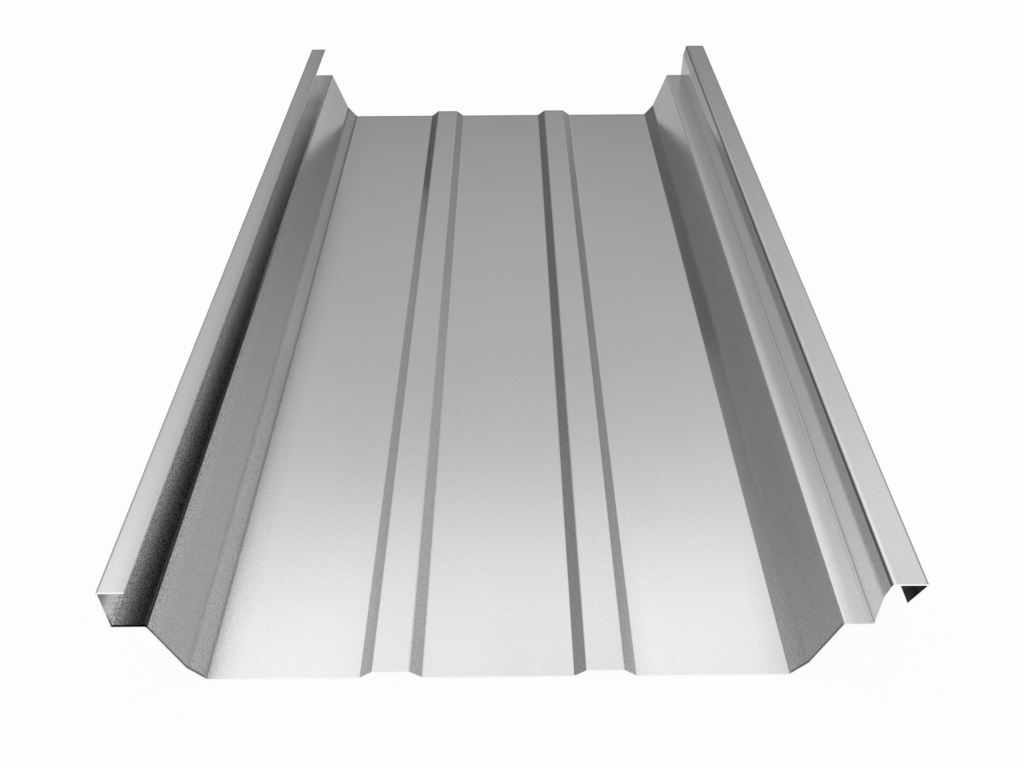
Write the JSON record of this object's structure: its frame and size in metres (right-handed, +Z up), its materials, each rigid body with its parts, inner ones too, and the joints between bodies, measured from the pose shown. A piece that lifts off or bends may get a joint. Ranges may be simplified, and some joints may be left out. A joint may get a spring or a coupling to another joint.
{
  "type": "standing seam roof panel",
  "caption": "Roll-formed metal roof panel: flat pan with two low ribs, sloping webs, ledges, a male seam flange on one side and a hooked female seam on the other.",
  "frame": {"origin": "underside of the pan, midway along the panel and midway between the pan's two edges", "axes": "+X across the panel from the male seam to the female seam, +Y along the panel, +Z up from the pan"},
  "size_m": [0.4242, 0.73, 0.0792],
  "materials": {
    "zinc_coated_steel": "bare aluminium-zinc coated steel, satin, with a fine even grain"
  },
  "bodies": {
    "root": {"roof_panel": "zinc_coated_steel"}
  },
  "joints": []
}
